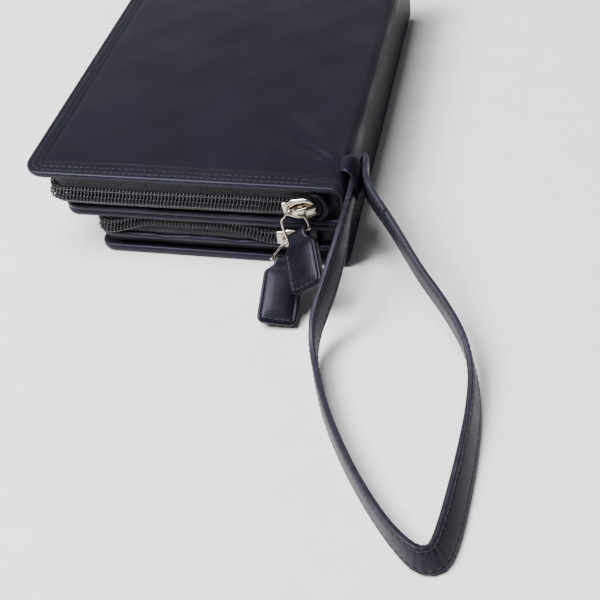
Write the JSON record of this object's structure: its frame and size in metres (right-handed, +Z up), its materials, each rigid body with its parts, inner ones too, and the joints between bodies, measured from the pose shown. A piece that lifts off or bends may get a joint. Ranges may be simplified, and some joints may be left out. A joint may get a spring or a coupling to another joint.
{
  "type": "wristlet wallet",
  "caption": "Leather wristlet wallet with two zipped compartments, a hinged divider, card pockets, slider pulls with leather tabs and a wrist strap.",
  "frame": {"origin": "centre of the body's width and length on the face of the back panel that the wallet lies on", "axes": "+X towards the spine, +Y along the spine away from the strap end, +Z up through the front panel"},
  "size_m": [0.1922, 0.3356, 0.04],
  "materials": {
    "leather": "smooth, semi-gloss, black with a faint blue cast",
    "leather_edge": "dark painted edge, satin",
    "strap_leather": "smooth, semi-gloss, stitched along both edges",
    "lining": "plain woven lining",
    "board": "plain stiffener board",
    "zip_tape": "twill woven tape",
    "zip_coil": "moulded nylon coil",
    "nickel": "polished nickel"
  },
  "bodies": {
    "back_section": {"back_panel": "leather", "back_band": "leather_edge", "back_lip": "leather", "back_board": "board", "back_lining": "lining", "spine_lower": "leather", "rear_gusset_near": "leather", "rear_gusset_far": "leather", "rear_zip_lower_tape": "zip_tape", "rear_zip_lower_coil": "zip_coil"},
    "divider": {"divider_lower_skin": "leather", "divider_board": "board", "divider_upper_skin": "leather", "spine_upper": "leather", "rear_zip_upper_tape": "zip_tape", "rear_zip_upper_coil": "zip_coil", "rear_zip_end": "zip_tape", "rear_zip_stop": "nickel", "front_zip_lower_tape": "zip_tape", "front_zip_lower_coil": "zip_coil", "front_zip_end": "zip_tape", "front_zip_stop": "nickel", "front_gusset_near": "leather", "front_gusset_far": "leather", "card_pocket_back": "lining", "card_pocket_middle": "lining", "card_pocket_front": "lining", "strap_keeper": "leather", "strap_root": "strap_leather"},
    "front_cover": {"front_panel": "leather", "front_lip": "leather", "front_board": "board", "front_lining": "lining", "slip_pocket": "lining", "front_zip_upper_tape": "zip_tape", "front_zip_upper_coil": "zip_coil"},
    "strap_loop": {"wrist_strap": "strap_leather"},
    "front_slider": {"front_slider": "nickel"},
    "front_link": {"front_pull_link": "nickel"},
    "front_tab": {"front_pull_tab": "leather"},
    "rear_slider": {"rear_slider": "nickel"},
    "rear_link": {"rear_pull_link": "nickel"},
    "rear_tab": {"rear_pull_tab": "leather"}
  },
  "joints": [
    {"name": "divider_fold", "type": "hinge", "parent": "back_section", "child": "divider", "pos_m": [0.067, 0, 0.014], "axis": [0, 1, 0], "range_deg": [0, 28]},
    {"name": "cover_fold", "type": "hinge", "parent": "divider", "child": "front_cover", "pos_m": [0.062, 0, 0.04], "axis": [0, 1, 0], "range_deg": [0, 95]},
    {"name": "strap_swing", "type": "hinge", "parent": "back_section", "child": "strap_loop", "pos_m": [0.0745, -0.1056, 0.0315], "axis": [-1, 0, 0], "range_deg": [0, 90]},
    {"name": "front_zip_run", "type": "slide", "parent": "divider", "child": "front_slider", "axis": [-1, 0, 0], "range_m": [0, 0.088]},
    {"name": "front_link_swing", "type": "hinge", "parent": "front_slider", "child": "front_link", "pos_m": [0.049, -0.1042, 0.0303], "axis": [-1, 0, 0], "range_deg": [0, 100]},
    {"name": "front_tab_swing", "type": "hinge", "parent": "front_link", "child": "front_tab", "pos_m": [0.0493, -0.1081, 0.0228], "axis": [-0.807, -0.0564, -0.5878], "range_deg": [0, 70]},
    {"name": "rear_zip_run", "type": "slide", "parent": "back_section", "child": "rear_slider", "axis": [-1, 0, 0], "range_m": [0, 0.069]},
    {"name": "rear_link_swing", "type": "hinge", "parent": "rear_slider", "child": "rear_link", "pos_m": [0.045, -0.1042, 0.0145], "axis": [-1, 0, 0], "range_deg": [-60, 0]},
    {"name": "rear_tab_swing", "type": "hinge", "parent": "rear_link", "child": "rear_tab", "pos_m": [0.044, -0.1124, 0.0126], "axis": [-0.9839, -0.0861, 0.1564], "range_deg": [-40, 0]}
  ]
}
